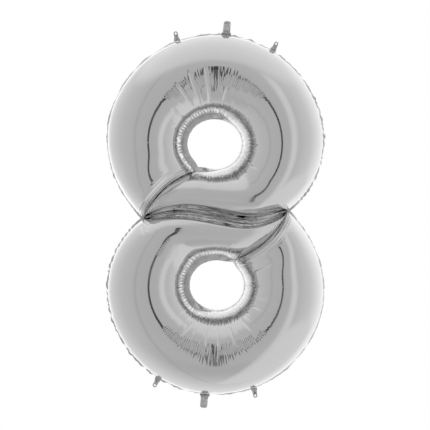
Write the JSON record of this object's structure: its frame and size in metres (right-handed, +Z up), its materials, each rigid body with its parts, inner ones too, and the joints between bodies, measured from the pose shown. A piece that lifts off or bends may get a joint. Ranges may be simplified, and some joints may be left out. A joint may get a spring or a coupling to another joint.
{
  "type": "foil number balloon",
  "caption": "Inflated foil balloon in the shape of a figure eight, with welded rims, divider seams, hanging tabs with eyelets and filling necks with valve sleeves.",
  "frame": {"origin": "centre of the figure, where half a turn about Y maps it onto itself, on the plane of the seams", "axes": "+Z up the figure, +X across it to the right as seen from the front, -Y out of the front"},
  "size_m": [0.6162, 0.218, 1.0838],
  "materials": {
    "foil_film": "metallised film with a mirror gloss and fine tension wrinkles",
    "tab_film": "two metallised films sealed together, crinkled",
    "neck_film": "metallised film, crinkled by filling and folding",
    "sealed_seam": "heat-sealed band with a fine puckered edge",
    "valve_film": "thin translucent valve film"
  },
  "bodies": {
    "envelope": {"front_panel": "foil_film", "back_panel": "foil_film", "outer_seam": "sealed_seam", "upper_hole_seam": "sealed_seam", "lower_hole_seam": "sealed_seam", "upper_divider_seam": "sealed_seam", "lower_divider_seam": "sealed_seam", "top_valve_front_film": "valve_film", "top_valve_back_film": "valve_film", "top_valve_side_seams": "valve_film", "bottom_valve_front_film": "valve_film", "bottom_valve_back_film": "valve_film", "bottom_valve_side_seams": "valve_film"},
    "top_left_tab": {"top_left_tab": "tab_film"},
    "top_right_tab": {"top_right_tab": "tab_film"},
    "bottom_left_tab": {"bottom_left_tab": "tab_film"},
    "bottom_right_tab": {"bottom_right_tab": "tab_film"},
    "top_neck": {"top_neck_front_leaf": "neck_film", "top_neck_back_leaf": "neck_film", "top_neck_side_seams": "sealed_seam", "top_valve_mouth_front": "valve_film", "top_valve_mouth_back": "valve_film"},
    "bottom_neck": {"bottom_neck_front_leaf": "neck_film", "bottom_neck_back_leaf": "neck_film", "bottom_neck_side_seams": "sealed_seam", "bottom_valve_mouth_front": "valve_film", "bottom_valve_mouth_back": "valve_film"}
  },
  "joints": [
    {"name": "top_left_tab_fold", "type": "hinge", "parent": "envelope", "child": "top_left_tab", "pos_m": [-0.10839, 0, 0.48987], "axis": [0.9385, 0, 0.3453], "range_deg": [-90, 90], "stiffness_Nm_per_rad": 0.0005},
    {"name": "top_right_tab_fold", "type": "hinge", "parent": "envelope", "child": "top_right_tab", "pos_m": [0.16242, 0, 0.4626], "axis": [0.8508, 0, -0.5255], "range_deg": [-90, 90], "stiffness_Nm_per_rad": 0.0005},
    {"name": "bottom_right_tab_fold", "type": "hinge", "parent": "envelope", "child": "bottom_right_tab", "pos_m": [0.10839, 0, -0.48987], "axis": [-0.9385, 0, -0.3453], "range_deg": [-90, 90], "stiffness_Nm_per_rad": 0.0005},
    {"name": "bottom_left_tab_fold", "type": "hinge", "parent": "envelope", "child": "bottom_left_tab", "pos_m": [-0.16242, 0, -0.4626], "axis": [-0.8508, 0, 0.5255], "range_deg": [-90, 90], "stiffness_Nm_per_rad": 0.0005},
    {"name": "top_neck_fold", "type": "hinge", "parent": "envelope", "child": "top_neck", "pos_m": [0.03043, 0, 0.50741], "axis": [0.9949, 0, -0.1011], "range_deg": [-90, 90], "stiffness_Nm_per_rad": 0.0012},
    {"name": "bottom_neck_fold", "type": "hinge", "parent": "envelope", "child": "bottom_neck", "pos_m": [-0.03043, 0, -0.50741], "axis": [-0.9949, 0, 0.1011], "range_deg": [-90, 90], "stiffness_Nm_per_rad": 0.0012}
  ]
}
